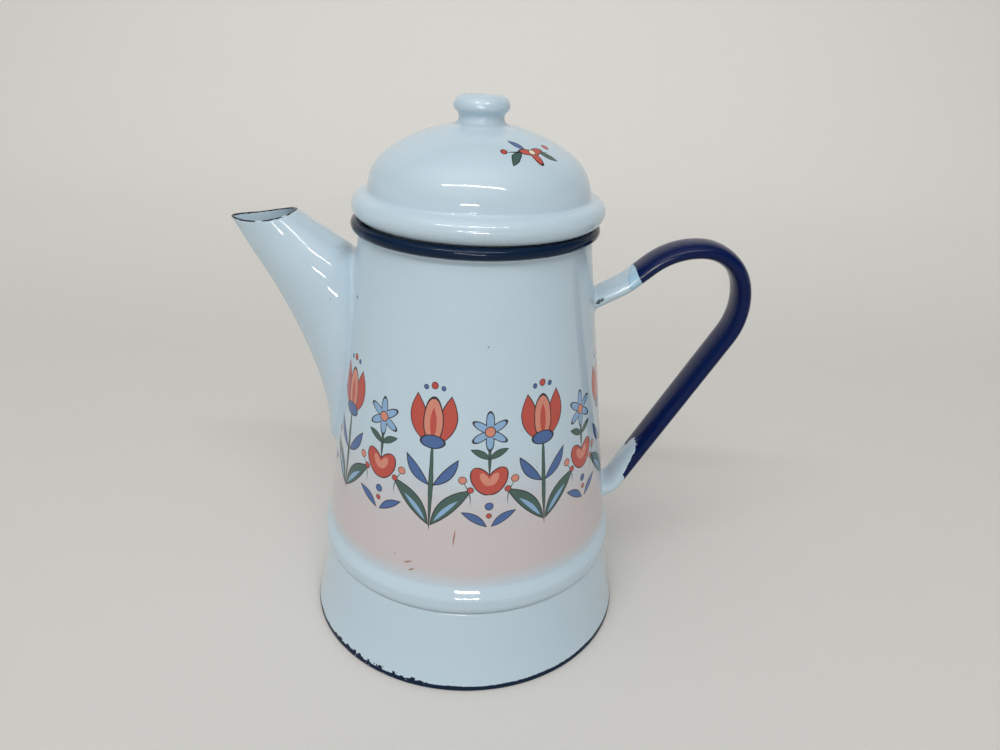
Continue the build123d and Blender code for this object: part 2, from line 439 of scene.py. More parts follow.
def spread(line, stop, count):
    """Evenly spaced points along a line, from its start to a distance short of its end."""
    run = np.concatenate([[0], np.cumsum(np.linalg.norm(np.diff(line, axis=0), axis=1))])
    places = np.linspace(0, run[-1] - stop, count)
    return np.column_stack([np.interp(places, run, line[:, axis]) for axis in range(3)])


# %% The fillet of glaze
def ease_on(tube, reach, rows, fillet=12):
    """Rings of a tube from its free end to the wall, with the glaze's fillet at its foot."""
    lines = cut_at_wall(tube)
    meet = np.array([line[-1] for line in lines])
    round_joint = np.roll(meet, -1, axis=0) - np.roll(meet, 1, axis=0)
    outwards = unit(np.cross(round_joint, wall_normal(meet)))
    if np.sum(outwards * (meet - meet.mean(axis=0))) < 0:
        outwards = -outwards
    along = np.array([spread(line, reach, rows) for line in lines])
    start = along[:, -1]
    land = on_wall(meet + outwards * reach)
    rings = [along[:, row] for row in range(rows)]
    for t in np.linspace(0, 1, fillet + 1)[1:]:
        rings.append((1 - t)**2 * start + 2 * t * (1 - t) * meet + t * t * land)
    rings.append(on_wall(land + outwards * 0.5, -0.15))
    return rings


test_point = np.array([[80.0, 0.0, 100.0]])
print("a point 80 mm out stands", round(float(off_wall(test_point)[0]), 2), "mm off the wall")

# %% [markdown]
# ## The spout
# The spout is a tapered tube rolled from one blank: wide and low where it sits on the wall, and
# narrow at the mouth, which is cut level with the pot's rim and dips a little between its two ends.
# Ten cuts across it were measured, and a smooth curve through each of their numbers gives many
# more. Each cut is an egg, blunt towards the pot and sharper towards the tip. A Curve object with a
# bevel would keep the same section all the way, which a spout doesn't.

# %% Cuts across the spout
# Each row: lowest point (x, z), highest point (x, z), half width, and how egg-shaped it is.
SPOUT_CUTS = np.array([
    (-100.65, 183.75, -76.80, 185.65, 9.90, 0.28),
    (-98.55, 179.90, -72.65, 182.85, 10.35, 0.28),
    (-91.25, 166.65, -63.20, 176.55, 12.30, 0.26),
    (-83.55, 153.45, -55.25, 171.35, 15.35, 0.22),
    (-73.35, 131.75, -46.00, 162.95, 18.30, 0.15),
    (-66.30, 111.20, -43.00, 148.40, 19.50, 0.10),
    (-63.25, 95.25, -43.90, 131.40, 18.80, 0.05),
    (-63.30, 87.30, -46.00, 112.90, 16.50, 0.00),
    (-61.20, 79.90, -48.00, 97.95, 13.50, 0.00),
    (-55.50, 76.50, -49.00, 86.00, 10.00, 0.00),
])
# The mouth is cut by a cylinder that lies along Y, high above the spout.
MOUTH_CUT = (-92.9, 244.7)
MOUTH_CUT_R = 65.0
SPOUT_SHEET = 1.1


def smooth_through(values, count):
    """A smooth curve (a natural cubic spline) through rows, read at evenly spaced places."""
    n = len(values) - 1
    step = np.linalg.norm(np.diff(values[:, :4], axis=0), axis=1)
    at = np.concatenate([[0], np.cumsum(step)])
    system, right = np.eye(n + 1), np.zeros_like(values)
    for i in range(1, n):
        system[i, i - 1:i + 2] = step[i - 1], 2 * (step[i - 1] + step[i]), step[i]
        after, before = values[i + 1] - values[i], values[i] - values[i - 1]
        right[i] = 6 * (after / step[i] - before / step[i - 1])
    curve = np.linalg.solve(system, right)
    places = np.linspace(0, at[-1], count)
    part = np.clip(np.searchsorted(at, places, side="right") - 1, 0, n - 1)
    h, a, b = step[part][:, None], (at[part + 1] - places)[:, None], (places - at[part])[:, None]
    low, high = curve[part], curve[part + 1]
    ends = (values[part] / h - low * h / 6) * a + (values[part + 1] / h - high * h / 6) * b
    return ends + (low * a**3 + high * b**3) / (6 * h)


print("half widths between the cuts", smooth_through(SPOUT_CUTS, 7)[:, 4].round(1).tolist())


# %% The spout's two faces, cut at the mouth
def spout_tube(inward, rows=220, columns=120):
    """Rings of the spout's outer face, or of its bore when moved inward, from the mouth down."""
    cuts = smooth_through(SPOUT_CUTS, rows)
    angle = np.linspace(0, 2 * pi, columns, endpoint=False)
    tube = []
    for x_low, z_low, x_high, z_high, half_width, fullness in cuts:
        long_way = np.array([x_high - x_low, 0, z_high - z_low]) / 2
        middle = np.array([x_low + x_high, 0, z_low + z_high]) / 2
        long = np.linalg.norm(long_way)
        lengthways = ((long - inward) * np.cos(angle))[:, None] * long_way / long
        across = (half_width - inward) * np.sin(angle) * (1 + fullness * np.cos(angle))
        tube.append(middle + lengthways + across[:, None] * np.array([0, 1, 0]))
    lines = []
    for line in np.array(tube).swapaxes(0, 1):
        from_axis = np.hypot(line[:, 0] - MOUTH_CUT[0], line[:, 2] - MOUTH_CUT[1])
        past, meet = crossing(line, MOUTH_CUT_R - from_axis)
        lines.append(spread(np.vstack([meet, line[past:]]), 0.0, rows))
    return np.stack(lines, axis=1)


outer, bore = spout_tube(0.0), spout_tube(SPOUT_SHEET)
print("the mouth is", round(float(np.ptp(outer[0][:, 0])), 1), "mm long")


# %% Spout with its rounded lip
SPOUT_REACH = 4.6
BORE_ROWS = 60


def lip_rings(outer_top, bore_top, way, half):
    """Half a round over the sheet's edge, a little uneven, as a cut edge is after dipping."""
    angle = np.linspace(0, 2 * pi, len(outer_top), endpoint=False)
    wave = 0.10 * np.sin(5 * angle + 1.0) + 0.07 * np.sin(9 * angle)
    wave = wave + 0.05 * np.sin(17 * angle + 2.0)
    middle, out = (outer_top + bore_top) / 2, (bore_top - outer_top) / 2
    rings = []
    for turn in np.radians(np.linspace(180, 0, 9)[1:-1]):
        high = (half + wave * 0.5 - 0.1)[:, None] * sin(turn)
        rings.append(middle + out * cos(turn) + way * high)
    return rings


def spout_rings():
    """Outer face from the wall up, over the lip, and down the bore to the strainer."""
    half = SPOUT_SHEET / 2
    way = unit(outer[0] - outer[3])
    outer_top, bore_top = outer[0] - way * half, bore[0] - way * half
    outside = ease_on(np.concatenate([[outer_top], outer[3:]]), SPOUT_REACH, 90)
    lines = cut_at_wall(np.concatenate([[bore_top], bore[3:]]), -0.35)
    inside = np.array([spread(line, 0.0, BORE_ROWS) for line in lines])
    bore_rings = [inside[:, row] for row in range(BORE_ROWS)]
    return outside[::-1] + lip_rings(outer_top, bore_top, way, half) + bore_rings


spout = skin("spout", spout_rings(), loop=True, crease=50)

# %% [markdown]
# ## The handle
# The handle is a hollow strap of flattened tube, bent to leave room for the hand. Its line is drawn
# as corners with a bend at each, the way a tube bender is set, and a flat oval is carried along it.
# The oval is a superellipse: fuller at the shoulders than an ellipse, so the broad faces read as
# flat and catch the light in a narrow line near the edge.

# %% The line of the handle
HANDLE_CORNERS = (
    (44.15, 147.0),
    (62.80, 157.4),
    (82.20, 174.3),
    (107.80, 172.5),
    (114.60, 147.0),
    (66.70, 61.0),
    (54.85, 54.6),
)
HANDLE_BENDS = (18.0, 31.0, 19.0, 31.0, 12.0)
STRAP = (8.65, 3.55)


def bent_line(corners, bends, step=2.0):
    """A line with each of its corners rounded to a bend radius."""
    corners = [np.array(c, float) for c in corners]
    runs, last = [], corners[0]
    for before, corner, after, radius in zip(corners, corners[1:], corners[2:], bends):
        way, next_way = unit(corner - before), unit(after - corner)
        turn = np.arccos(np.clip(np.dot(way, next_way), -1, 1))
        start = corner - way * radius * tan(turn / 2)
        runs.append(straight(last, start, step))
        last = corner + next_way * radius * tan(turn / 2)
        runs.append(arc_on(start, way, last, max(6, int(radius * turn / 1.2))))
    return joined(*runs, straight(last, corners[-1], step))


handle_line = bent_line(HANDLE_CORNERS, HANDLE_BENDS)
print("the handle's line has", len(handle_line), "points")


# %% Strap
def strap_tube(line, columns=64, fullness=2.35):
    """A flat oval carried along the line. A fullness of 2 would be an ellipse."""
    way = unit(np.gradient(line, axis=0))
    angle = np.linspace(0, 2 * pi, columns, endpoint=False)
    power = 2 / fullness
    across = STRAP[0] * np.sign(np.cos(angle)) * np.abs(np.cos(angle))**power
    thick = STRAP[1] * np.sign(np.sin(angle)) * np.abs(np.sin(angle))**power
    rings = []
    for (x, z), (dx, dz) in zip(line, way):
        rings.append(np.column_stack([x - dz * thick, across, z + dx * thick]))
    return np.array(rings)


def shut(ring):
    """Rings that close a tube's foot inside the thickness of the wall."""
    middle = ring.mean(axis=0)
    rings = [on_wall(middle + (ring - middle) * share, -0.45) for share in (0.96, 0.7, 0.45, 0.2)]
    return rings + [on_wall(middle[None], -0.45)]


tube = strap_tube(handle_line)
half = int(np.argmax(tube[:, :, 0].mean(axis=1)))
upper = ease_on(tube[:half + 1][::-1], 1.9, 90)
lower = ease_on(tube[half:], 1.6, 90)
handle_rings = shut(upper[-1])[::-1] + upper[::-1] + lower[1:] + shut(lower[-1])
handle = skin("handle_strap", handle_rings, crease=60)
print("strap", 2 * STRAP[0], "by", 2 * STRAP[1], "mm")

# %% [markdown]
# ## The lid
# The lid is loose: it has no hinge, and only a collar that goes down inside the mouth keeps it from
# sliding off. Crown, shoulder, bead and collar are one pressing, so they are one outline. It sits a
# millimetre towards the handle, as a loose lid does. The knob is pressed by itself and fixed on the
# crown, and the glaze makes the two look like one.

# %% Lid
LID_SHIFT = 1.0
LID_SHEET = 1.1
CROWN = (0.0, 155.07)
CROWN_R = 64.43
SHOULDER = (24.4, 192.2)
SHOULDER_R = 20.0
BEAD = (45.6, 187.95)
BEAD_R = 4.8
COLLAR_R = 44.0
COLLAR_TOP = 181.6
COLLAR_FOOT = 171.05


def lid_outline():
    """Crown, shoulder, neck, bead and collar, outside and then inside."""
    join = degrees(np.arctan2(SHOULDER[1] - CROWN[1], SHOULDER[0] - CROWN[0]))

    def face(depth):
        dome = joined(
            arc(CROWN, CROWN_R - depth, 90, join, 24),
            arc(SHOULDER, SHOULDER_R - depth, join, 6.6, 24),
        )
        dome[0][0] = 0.0
        bead = arc(BEAD, BEAD_R - depth, 84, -80, 26)
        neck_way = (sin(radians(6.6)), -cos(radians(6.6)))
        neck = bend(dome[-1], neck_way, bead[0], (cos(radians(6)), -sin(radians(6))), 10, 0.62)
        foot_way = (-cos(radians(10)), sin(radians(10)))
        top, bottom = (COLLAR_R - depth, COLLAR_TOP), (COLLAR_R - depth, COLLAR_FOOT)
        under = bend(bead[-1], foot_way, top, (0, -1), 8)
        return joined(dome, neck, bead, under, straight(top, bottom, 2.5))

    edge = arc((COLLAR_R - LID_SHEET / 2, COLLAR_FOOT), LID_SHEET / 2, 0, -180, 6)[1:-1]
    return np.vstack([face(0.0), edge, face(LID_SHEET)[::-1]])


lid = turned("lid", lid_outline(), columns=288, centre=LID_SHIFT)

# %% Knob
KNOB_TOP = (0, 229.7)
KNOB_EDGE = (6.4, 229.35)
KNOB_WIDEST = (10.85, 225.35)
KNOB_NECK = (8.85, 221.5)
KNOB_FOOT_R = 11.3
KNOB_SUNK = 0.6


def crown_height(radius, depth=0.0):
    """Height of the crown at a distance from its middle, or of a face this far inside it."""
    return CROWN[1] + sqrt((CROWN_R - depth)**2 - radius**2)


def knob_outline():
    """Over the top, round the edge, in at the neck, out on the crown, and shut just under it."""
    fall = (cos(radians(10)), -sin(radians(10)))
    foot = (KNOB_FOOT_R, crown_height(KNOB_FOOT_R) - 0.08)
    outside = joined(
        bend(KNOB_TOP, (1, 0), KNOB_EDGE, (1, -0.09), 6),
        bend(KNOB_EDGE, (1, -0.09), KNOB_WIDEST, (0, -1), 14),
        bend(KNOB_WIDEST, (0, -1), KNOB_NECK, (-0.12, -1), 10),
        bend(KNOB_NECK, (-0.12, -1), foot, fall, 12),
    )
    under = [(r, crown_height(r, KNOB_SUNK)) for r in (11.0, 8.0, 5.0, 2.5, 0.0)]
    return np.vstack([outside, under])


knob = turned("knob", knob_outline(), columns=128, centre=LID_SHIFT)

# %% [markdown]
# ## Sums on a surface
# Enamel isn't painted with a picture here. Each mark is a sum that a shader does at every point:
# how far am I from the rim, how high am I, how far round the pot? Shader nodes can do such sums,
# but wired by hand they are slow to read. A small class lets them be written as ordinary sums.

# %% One way to add a node
def add_node(tree, kind, source=None, **values):
    """A new shader node, with its first socket wired to the source.

    Names in small letters are the node's own settings, and the others are its sockets.
    """
    made = tree.nodes.new("ShaderNode" + kind)
    for name, value in values.items():
        if name.islower():
            setattr(made, name, value)
        else:
            made.inputs[name.replace("_", " ")].default_value = value
    if source is not None:
        tree.links.new(source, made.inputs[0])
    return made


# %% Numbers and marks that nodes work out
class Sum:
    """A number that a material's nodes work out at each point of the surface."""

    def __init__(self, tree, value):
        self.tree, self.value = tree, value

    def node(self, operation, *others):
        made = add_node(self.tree, "Math", self.value, operation=operation)
        for socket, item in zip(made.inputs[1:], others):
            if isinstance(item, Sum):
                self.tree.links.new(item.value, socket)
            else:
                socket.default_value = item
        return Sum(self.tree, made.outputs[0])

    __add__ = partialmethod(node, "ADD")
    __sub__ = partialmethod(node, "SUBTRACT")
    __mul__ = partialmethod(node, "MULTIPLY")
    __abs__ = partialmethod(node, "ABSOLUTE")
    least = partialmethod(node, "MINIMUM")
    most = partialmethod(node, "MAXIMUM")

    def length(self, other):
        """Length of the two numbers taken as the sides of a right angle."""
        return (self * self + other * other).node("SQRT")

    def below(self, limit, soft=0.08):
        """1 where the number is under the limit, 0 above it, with a narrow soft edge."""
        edge = add_node(
            self.tree, "MapRange", self.value, interpolation_type="SMOOTHSTEP",
            From_Min=limit - soft, From_Max=limit + soft, To_Min=1.0, To_Max=0.0,
        )
        return Sum(self.tree, edge.outputs["Result"])

    def above(self, limit, soft=0.08):
        return self.below(limit, soft) * -1 + 1


# %% [markdown]
# ## Coats of enamel
# Real enamel is built up in coats: a dark ground coat, white over it, coloured edges, then a
# printed pattern, each fired on. The material is made in that order. It starts from one colour,
# each coat is laid over the last where its mark says, and one glossy shader covers them all. The
# gloss is almost a mirror, with a slow ripple where the glaze ran before it set, and it dulls where
# dirt or steel shows. Clear coat on top would be a second layer of glass that the pot doesn't have.

# %% Colours of the coats
def rgb(red, green, blue):
    """A colour as read from a paint card, 0 to 255, turned to the linear light that shaders use."""
    card = [v / 255 for v in (red, green, blue)]
    linear = [v / 12.92 if v <= 0.04045 else ((v + 0.055) / 1.055)**2.4 for v in card]
    return (*linear, 1.0)


WHITE = rgb(195, 215, 227)
NAVY = rgb(0, 21, 72)
EDGE_NAVY = rgb(4, 30, 58)
STEEL = rgb(38, 34, 34)
# Grey-brown grime for chip halos, also laid as painted shade in the crease under the bead and round
# the knob's foot.
DIRT_AND_SHADE = rgb(122, 108, 96)
RUST = rgb(150, 92, 52)
print("white", rounded(WHITE), "navy", rounded(NAVY))

# %% Enamel
GLASS_IOR = 1.52
RIPPLE = 0.35
RIPPLE_DEPTH = 0.1 * MM


class Enamel:
    """Coats of colour over each other, under one glossy shader. Lengths are in millimetres."""

    def __init__(self, name):
        self.material = bpy.data.materials.new(name)
        self.material.use_nodes = True
        self.tree = self.material.node_tree
        self.shader = self.tree.nodes["Principled BSDF"]
        self.colour = WHITE
        where = self.add("TexCoord").outputs["Object"]
        self.place = self.add("VectorMath", where, operation="SCALE", Scale=1 / MM).outputs[0]
        parts = self.add("SeparateXYZ", self.place)
        self.x, self.y, self.z = (Sum(self.tree, socket) for socket in parts.outputs)
        self.worn = self.dark = None

    def add(self, kind, source=None, **values):
        return add_node(self.tree, kind, source, **values)

    def noise(self, size, detail=2.0, shift=0.0):
        """Smooth chance between about 0.2 and 0.8, with lumps of this size."""
        moved = self.add("Mapping", self.place, Location=(shift, shift * 0.7, -shift)).outputs[0]
        made = self.add("TexNoise", moved, Scale=1.0 / size, Detail=detail)
        return Sum(self.tree, made.outputs["Fac"])

    def wander(self, size, detail, shift, reach):
        """Smooth chance to either side of nothing, for a border that isn't ruled."""
        return (self.noise(size, detail, shift) - 0.5) * reach

    def coat(self, colour, where):
        """Lays a colour over what is there, where the mark is 1."""
        mix = self.add("Mix", where.value, data_type="RGBA")
        under, over = [s for s in mix.inputs if s.type == "RGBA"]
        over.default_value = colour
        if isinstance(self.colour, tuple):
            under.default_value = self.colour
        else:
            self.tree.links.new(self.colour, under)
        self.colour = [s for s in mix.outputs if s.type == "RGBA"][0]

    def navy(self, colour, where):
        """A dark coat. It is thin and dense, and gives back less of the room than the white."""
        self.coat(colour, where)
        self.dark = where if self.dark is None else self.dark.most(where)

    def wear(self, where):
        """Marks a place as rough, because the glass is off there or dirty."""
        self.worn = where if self.worn is None else self.worn.most(where)

    def pinholes(self, spacing, size, share, colour=STEEL):
        """Scattered specks where gas came through the glaze."""
        cells = self.add("TexVoronoi", self.place, Scale=1.0 / spacing)
        split = self.add("SeparateColor", cells.outputs["Color"])
        chance = Sum(self.tree, split.outputs[0])
        how_big = Sum(self.tree, split.outputs[1]) * size + size * 0.25
        distance = Sum(self.tree, cells.outputs["Distance"]) * spacing
        speck = (distance - how_big).below(0.0, 0.08) * chance.above(1 - share, 0.001)
        self.coat(colour, speck * 0.85)
        self.wear(speck)

    def chip(self, centre, radius, seed, colour=STEEL):
        """A ragged spot with a grey halo, where a knock has taken the glass off."""
        x, y, z = centre
        away = (self.x - x).length(self.y - y).length(self.z - z)
        ragged = away + self.wander(1.1, 2, seed, radius) * 1.6
        self.coat(DIRT_AND_SHADE, ragged.below(radius * 1.35, radius * 0.5) * 0.45)
        spot = ragged.below(radius, 0.12)
        self.coat(colour, spot)
        self.wear(spot)

    def fire(self, gloss=0.035):
        """Connects the coats to the shader and adds the ripple of the run glaze."""
        haze = self.noise(14.0, 3, 40.0).above(0.55, 0.3) * 0.03 + gloss + self.worn * 0.45
        waves = self.noise(9.0, 1.0, 5.0) * RIPPLE + self.noise(2.2, 0.0, 9.0) * RIPPLE * 0.05
        bump = self.add("Bump", Distance=RIPPLE_DEPTH, Strength=1.0)
        self.tree.links.new((waves - self.worn * 0.6).value, bump.inputs["Height"])
        self.shader.inputs["IOR"].default_value = GLASS_IOR
        wires = {"Base Color": self.colour, "Roughness": haze.value, "Normal": bump.outputs[0]}
        if self.dark is not None:
            wires["Specular IOR Level"] = (self.dark * -0.32 + 0.5).value
        for name, socket in wires.items():
            self.tree.links.new(socket, self.shader.inputs[name])
        print(self.material.name, "has", len(self.tree.nodes), "nodes")
        return self.material


# %% [markdown]
# ## A painted band
# Round the lower half of the pot runs a printed band. Here it is a row of garden flowers, eight
# times round: a tall tulip, and between tulips a heart under a daisy. Each petal is an ellipse or a
# leaf shape with a dark line round it. The distance round the pot is folded at the middle of a
# tulip and again at the middle of a heart, as folded paper is before it is cut, so one half of each
# shape is enough and the two sides match.

# %% A brush for petals and leaves
INK = rgb(30, 27, 34)
CORAL = rgb(190, 78, 66)
SALMON = rgb(214, 138, 118)
BLUE = rgb(72, 104, 158)
PALE_BLUE = rgb(140, 176, 212)
GREEN = rgb(66, 96, 88)
CREAM = rgb(232, 222, 196)


class Brush:
    """Draws outlined shapes on an enamel, in a flat frame of two lengths in millimetres."""

    def __init__(self, enamel, across, up, inside=None):
        self.enamel, self.inside = enamel, inside
        join = enamel.add("CombineXYZ", across.value)
        enamel.tree.links.new(up.value, join.inputs[1])
        self.place = join.outputs[0]

    def frame(self, centre, half_length, half_width, tilt):
        """The point seen from a shape: lengthways and across, each 1 at the shape's edge."""
        return self.enamel.add(
            "Mapping", self.place, vector_type="TEXTURE", Location=(*centre, 0),
            Rotation=(0, 0, radians(tilt)), Scale=(half_length, half_width, 1),
        ).outputs[0]

    def ellipse(self, centre, half_length, half_width, tilt=0):
        """Below 0 inside the shape, and roughly the distance in millimetres outside it."""
        point = self.frame(centre, half_length, half_width, tilt)
        size = self.enamel.add("VectorMath", point, operation="LENGTH").outputs["Value"]
        return (Sum(self.enamel.tree, size) - 1.0) * min(half_length, half_width)

    def leaf(self, centre, half_length, half_width, tilt=0, bow=0.0):
        """Pointed at both ends. A bow bends it sideways, in half widths."""
        point = self.frame(centre, half_length, half_width, tilt)
        parts = self.enamel.add("SeparateXYZ", point).outputs
        along, across = (Sum(self.enamel.tree, socket) for socket in parts[:2])
        swell = along * along * -1.0 + 1.0
        return (abs(across - swell * bow) - swell) * half_width

    def paint(self, shape, colour, line=0.42):
        """Fills a shape and inks its edge."""
        if line:
            self.lay(INK, shape.below(line * 0.5))
        self.lay(colour, shape.below(-line * 0.5))

    def dot(self, centre, radius, colour, line=0.3):
        self.paint(self.ellipse(centre, radius, radius), colour, line)

    def flower(self, first, *others):
        """Several ellipses as one shape."""
        shape = self.ellipse(*first)
        for petal in others:
            shape = shape.least(self.ellipse(*petal))
        return shape

    def lay(self, colour, where):
        self.enamel.coat(colour, where if self.inside is None else where * self.inside)


# %% White enamel of the wall, with its blush
wall_enamel = Enamel("wall_enamel")
radius = wall_enamel.x.length(wall_enamel.y)
height = wall_enamel.z
from_roll = (radius - ROLL[0]).length(height - ROLL[1])
outside = (radius + height * SLOPE).above(CONE_R - 0.6, 0.1)

drift = wall_enamel.wander(30.0, 1, 3.0, 6.0)
blush = (height + drift * 0.4).above(51.0, 4.5) * (height + drift * 3.0).below(87.5, 17.5) * outside
wall_enamel.coat(rgb(208, 192, 190), blush * 0.8)
print("nodes for the wall's ground", len(wall_enamel.tree.nodes))

# %% The band, folded
REPEATS = 8
HALF_STEP = 22.4
turn = wall_enamel.y.node("ARCTAN2", wall_enamel.x) * (REPEATS / (2 * pi)) + (REPEATS + 0.30)
from_tulip = abs(turn.node("FRACT") - 0.5) * (-2 * HALF_STEP) + HALF_STEP
from_heart = from_tulip * -1.0 + HALF_STEP
wobble = wall_enamel.wander(6.0, 1, 21.0, 0.5)
print("tulips round the pot", REPEATS, "and from tulip to heart", HALF_STEP, "mm")

# %% Tulip
band = Brush(wall_enamel, from_tulip + wobble, height + wobble, outside)
band.paint(band.leaf((0.0, 92.5), 19.5, 0.85, 90), GREEN, 0.2)
band.paint(band.leaf((8.0, 82.5), 11.0, 2.9, 47, 0.5), GREEN)
band.paint(band.leaf((6.2, 81.0), 6.5, 0.9, 47, 0.6), PALE_BLUE, 0)
band.paint(band.leaf((5.6, 97.0), 7.4, 1.9, 50, -0.5), BLUE)
band.paint(band.leaf((4.6, 118.0), 10.0, 3.6, 76, -0.35), CORAL)
band.paint(band.ellipse((0.0, 117.5), 9.2, 3.9, 90), SALMON)
band.paint(band.leaf((0.0, 116.5), 6.6, 1.3, 90), CORAL, 0)
band.paint(band.ellipse((0.0, 109.2), 4.9, 2.6), BLUE)
band.dot((0.0, 131.4), 1.3, CORAL)
band.dot((3.6, 130.6), 0.9, BLUE, 0.25)
print("with the tulip", len(wall_enamel.tree.nodes))

# %% Heart, daisy and buds
heart = Brush(wall_enamel, from_heart + wobble, height + wobble, outside)
heart.paint(heart.leaf((0.0, 104.0), 7.0, 0.6, 90), GREEN, 0.2)
heart.paint(heart.leaf((3.6, 105.2), 4.2, 1.3, 28, 0.3), GREEN, 0.3)
heart.paint(heart.ellipse((2.75, 94.2), 6.1, 3.7, 58), CORAL)
heart.paint(heart.ellipse((2.75, 94.2), 6.1, 3.2, 58), CORAL, 0)
heart.paint(heart.ellipse((1.7, 95.0), 3.0, 1.5, 58), SALMON, 0)
heart.dot((0.0, 83.6), 1.5, BLUE)
heart.dot((0.0, 79.6), 1.0, CORAL, 0.25)
heart.paint(heart.leaf((5.6, 78.0), 5.6, 1.5, 33, 0.4), BLUE, 0.35)
daisy = heart.flower(
    ((0.0, 118.2), 4.0, 1.55, 90),
    ((3.2, 116.3), 3.9, 1.5, 30),
    ((3.2, 112.3), 3.9, 1.5, -30),
    ((0.0, 110.6), 3.7, 1.5, 90),
)
heart.paint(daisy, PALE_BLUE, 0.36)
heart.dot((0.0, 114.3), 2.0, SALMON, 0.36)
heart.paint(heart.leaf((8.9, 89.0), 5.6, 0.26, 72, 5.0), GREEN, 0)
heart.dot((10.2, 94.6), 1.5, SALMON)
heart.dot((7.2, 90.6), 1.2, CORAL)
print("with the heart and the daisy", len(wall_enamel.tree.nodes))

# %% What use has done to the wall, and painted shade in its crease
# Each scratch: x and z of its middle, half its length, and its slant.
SCRATCHES = ((-22.5, 56.0, 2.0, 24), (-21.0, 53.0, 1.5, 30), (-4.0, 70.0, 4.0, 84))

wall_enamel.pinholes(7.0, 0.30, 0.10)
# Painted shade with some grime: the foot of the bead is darkened, in the crease above the skirt.
crease = height.below(36.4, 0.5) * outside
wall_enamel.coat(DIRT_AND_SHADE, crease * 0.45)
scuff = wall_enamel.wander(0.9, 2, 14.0, 1.0)
for x, z, long, slant in SCRATCHES:
    scratch_frame = Brush(wall_enamel, wall_enamel.x - x, height - z)
    near = wall_enamel.y.below(-20.0, 1.0)
    mark = scratch_frame.leaf((0, 0), long, 0.35, slant) + scuff * 0.25
    wall_enamel.coat(RUST, mark.below(0.0, 0.12) * near * 0.8)

# The dark glaze of the rolled rim, and what the joints have lost.
ragged = from_roll + wall_enamel.wander(3.0, 2, 33.0, 0.35)
rim = ragged.below(2.72, 0.10) * height.above(177.9, 0.3)
wall_enamel.navy(EDGE_NAVY, rim)
wall_enamel.chip((-45.3, -21.4, 154.2), 0.55, 61.0)
wall_enamel.chip((-47.9, -17.3, 147.8), 0.35, 62.0)
wall_enamel.chip((-50.0, -21.2, 118.0), 0.40, 63.0)
wall_material = wall_enamel.fire()

# %% [markdown]
# ## The foot's own finish
# The skirt is white like the wall, but its bottom edge is the dark ground coat, left bare on
# purpose so that it doesn't matter when it is scraped along a stove. The border is where a hand
# wiped the white slip off before firing, so it wanders, and years of use have nicked it.

# %% Enamel of the skirt
skirt_enamel = Enamel("skirt_enamel")
up = skirt_enamel.z
wander = skirt_enamel.wander(9.0, 2, 51.0, 1.3) + skirt_enamel.wander(1.6, 2, 52.0, 0.9)
worn_side = skirt_enamel.x.below(-16.0, 6.0) * skirt_enamel.x.above(-56.0, 6.0)
worn_side = worn_side * skirt_enamel.y.below(0.0, 6.0)
chewed = skirt_enamel.noise(2.0, 2, 53.0).above(0.52, 0.06) * worn_side * 1.2
skirt_enamel.pinholes(6.0, 0.28, 0.12)
# Painted shade with some grime at the top of the skirt, in the crease under the bead.
skirt_enamel.coat(DIRT_AND_SHADE, up.above(35.3, 0.4) * 0.45)
skirt_enamel.navy(EDGE_NAVY, (up + wander * 0.6 - chewed).below(2.2, 0.10))
bare = skirt_enamel.noise(1.2, 1, 54.0).above(0.66, 0.02) * up.below(1.6, 0.3)
skirt_enamel.coat(rgb(168, 176, 182), bare * worn_side * 0.7)
skirt_enamel.wear(up.below(0.5, 0.2))
skirt_material = skirt_enamel.fire()

# %% Enamel of the pan
pan_enamel = Enamel("pan_enamel")
stain = pan_enamel.noise(11.0, 4, 71.0)
pan_enamel.coat(rgb(168, 160, 146), stain.above(0.52, 0.10) * pan_enamel.z.below(5.3, 0.1) * 0.5)
pan_enamel.pinholes(5.0, 0.35, 0.16)
pan_material = pan_enamel.fire(0.10)

# %% [markdown]
# ## Spout, handle and lid finishes
# At the mouth of the spout the edge of the sheet was cut after dipping and shows as a thin, broken
# dark line. The handle was dipped again in navy, in the hand, and the dip stopped short of the
# wall: at the top in one curved stroke, at the bottom in a ragged one. Those borders lie in the
# plane of the handle, so they are sums of x and z.

# %% Enamel of the spout
spout_enamel = Enamel("spout_enamel")
spout_enamel.pinholes(8.0, 0.26, 0.10)
below_cut = (spout_enamel.x - MOUTH_CUT[0]).length(spout_enamel.z - MOUTH_CUT[1]) - MOUTH_CUT_R
lip_rag = spout_enamel.wander(1.7, 2, 81.0, 0.7)
break_up = spout_enamel.noise(4.5, 2, 82.0).below(0.67, 0.03)
lip_line = (below_cut + lip_rag).below(0.50, 0.08) * break_up
spout_enamel.navy(rgb(16, 24, 40), lip_line)
spout_enamel.wear(lip_line * 0.2)
corner = (spout_enamel.x + 50.5).length(spout_enamel.z - 170.0)
corner = corner + spout_enamel.wander(3.5, 2, 83.0, 5.0)
spout_enamel.coat(rgb(140, 118, 100), corner.below(3.2, 2.4) * 0.34)
spout_material = spout_enamel.fire()

# %% The dip at the top of the handle
# The way the strap runs where each dip ends, as (x, z).
TOP_RUN = (0.84, 0.542)
FOOT_RUN = (0.4866, 0.8736)

handle_enamel = Enamel("handle_enamel")
hx, hy, hz = handle_enamel.x, handle_enamel.y, handle_enamel.z
stroke = handle_enamel.wander(5.0, 2, 91.0, 0.9)
along_top = hx * TOP_RUN[0] + hz * TOP_RUN[1]
up_strap = along_top + hy * hy * 0.008 + stroke
second_dip = along_top + hy * -0.4 + stroke * 1.5
handle_enamel.coat(rgb(150, 200, 226), second_dip.above(143.0, 0.35) * 0.55)
handle_enamel.coat(rgb(120, 165, 196), abs(second_dip - 143.0).below(0.22, 0.2) * 0.6)
upper_blue = up_strap.above(145.0, 0.10).most(hz.below(130.0, 1.0))
print("nodes with the upper dip", len(handle_enamel.tree.nodes))

